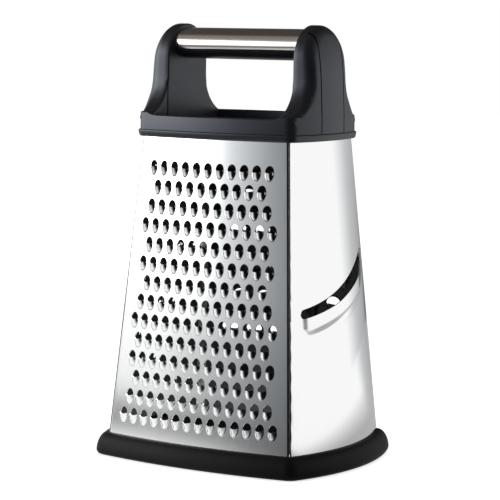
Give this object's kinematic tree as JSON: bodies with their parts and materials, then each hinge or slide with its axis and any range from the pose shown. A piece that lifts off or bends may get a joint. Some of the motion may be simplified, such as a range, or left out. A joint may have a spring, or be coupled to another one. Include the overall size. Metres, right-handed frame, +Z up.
{
  "type": "box grater",
  "caption": "Four-sided box grater: tapered steel panels with scoops, burrs and a slicing slot, a moulded cap with a grip handle and a rubber foot ring.",
  "frame": {"origin": "centre of the base, on the surface that the foot ring stands on", "axes": "+Z up along the body, -Y towards the shredding panel, +X towards the slicing panel"},
  "size_m": [0.1526, 0.1214, 0.239],
  "materials": {
    "satin_steel": "satin",
    "polished_steel": "polished",
    "sleeve_steel": "brushed",
    "screw_steel": "zinc plated",
    "black_plastic": "satin moulded",
    "black_rubber": "matte"
  },
  "bodies": {
    "root": {"front_panel": "satin_steel", "back_panel": "satin_steel", "right_panel": "polished_steel", "left_panel": "polished_steel", "foot_ring": "black_rubber", "handle_cap": "black_plastic", "right_cheek_cover": "black_plastic", "left_cheek_cover": "black_plastic", "grip_core": "black_plastic", "grip_sleeve": "sleeve_steel", "clamp_frame": "black_plastic", "clamp_screw_front_left": "screw_steel", "clamp_screw_front_right": "screw_steel", "clamp_screw_back_left": "screw_steel", "clamp_screw_back_right": "screw_steel", "left_grip_screw": "screw_steel", "right_grip_screw": "screw_steel"}
  },
  "joints": []
}
